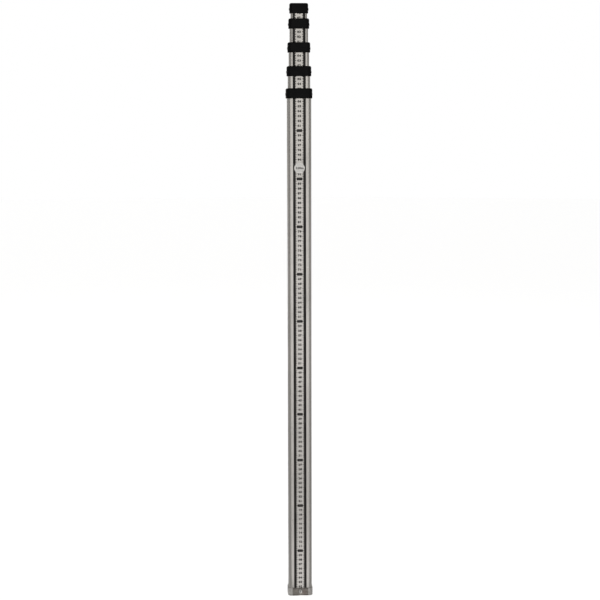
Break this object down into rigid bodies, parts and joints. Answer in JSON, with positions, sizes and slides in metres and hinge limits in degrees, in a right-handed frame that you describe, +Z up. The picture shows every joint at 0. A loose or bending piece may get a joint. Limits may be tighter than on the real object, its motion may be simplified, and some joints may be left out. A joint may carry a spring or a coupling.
{
  "type": "leveling staff",
  "caption": "Telescopic leveling staff of nested aluminium tubes with black collars, lock buttons, a cast shoe and a millimetre scale.",
  "frame": {"origin": "middle of the shoe's underside, where the staff stands on its mark", "axes": "+Z up along the staff, +X across its width to the lock-hole side; the millimetre scale faces -Y and the E graduation +Y"},
  "size_m": [0.057, 0.0376, 1.2605],
  "materials": {
    "anodised_aluminium": "clear anodised, satin",
    "black_plastic": "moulded, fine grain",
    "cast_aluminium": "as cast, dull",
    "zinc_steel": "zinc plated",
    "black_screw": "black coated steel",
    "rubber": "plain rubber",
    "natural_nylon": "natural nylon",
    "brass": "turned",
    "spring_steel": "drawn wire",
    "badge_plate": "light, glossy"
  },
  "bodies": {
    "base": {"base_tube": "anodised_aluminium", "base_collar": "black_plastic", "base_collar_screws": "black_screw", "foot_shoe": "cast_aluminium", "foot_screws": "zinc_steel", "foot_buffer": "rubber", "badge": "badge_plate"},
    "section_2": {"tube_2": "anodised_aluminium", "collar_2": "black_plastic", "collar_2_screws": "black_screw", "guide_plug_2": "natural_nylon", "plug_pin_2": "zinc_steel", "lock_spring_2": "spring_steel"},
    "section_3": {"tube_3": "anodised_aluminium", "collar_3": "black_plastic", "collar_3_screws": "black_screw", "guide_plug_3": "natural_nylon", "plug_pin_3": "zinc_steel", "lock_spring_3": "spring_steel"},
    "section_4": {"tube_4": "anodised_aluminium", "collar_4": "black_plastic", "collar_4_screws": "black_screw", "guide_plug_4": "natural_nylon", "plug_pin_4": "zinc_steel", "lock_spring_4": "spring_steel"},
    "section_5": {"tube_5": "anodised_aluminium", "top_cap": "black_plastic", "top_cap_screws": "black_screw", "guide_plug_5": "natural_nylon", "plug_pin_5": "zinc_steel", "lock_spring_5": "spring_steel"},
    "button_2": {"lock_button_2": "brass"},
    "button_3": {"lock_button_3": "brass"},
    "button_4": {"lock_button_4": "brass"},
    "button_5": {"lock_button_5": "brass"}
  },
  "joints": [
    {"name": "section_2_slide", "type": "slide", "parent": "base", "child": "section_2", "axis": [0, 0, 1], "range_m": [0, 0.944]},
    {"name": "section_3_slide", "type": "slide", "parent": "section_2", "child": "section_3", "axis": [0, 0, 1], "range_m": [0, 0.9425]},
    {"name": "section_4_slide", "type": "slide", "parent": "section_3", "child": "section_4", "axis": [0, 0, 1], "range_m": [0, 0.9415]},
    {"name": "section_5_slide", "type": "slide", "parent": "section_4", "child": "section_5", "axis": [0, 0, 1], "range_m": [0, 0.9115]},
    {"name": "button_2_press", "type": "slide", "parent": "section_2", "child": "button_2", "axis": [1, 0, 0], "range_m": [-0.0015, 0], "stiffness_N_per_m": 400, "deforming": ["lock_spring_2"]},
    {"name": "button_3_press", "type": "slide", "parent": "section_3", "child": "button_3", "axis": [1, 0, 0], "range_m": [-0.0015, 0], "stiffness_N_per_m": 400, "deforming": ["lock_spring_3"]},
    {"name": "button_4_press", "type": "slide", "parent": "section_4", "child": "button_4", "axis": [1, 0, 0], "range_m": [-0.0015, 0], "stiffness_N_per_m": 400, "deforming": ["lock_spring_4"]},
    {"name": "button_5_press", "type": "slide", "parent": "section_5", "child": "button_5", "axis": [1, 0, 0], "range_m": [-0.0015, 0], "stiffness_N_per_m": 400, "deforming": ["lock_spring_5"]}
  ]
}
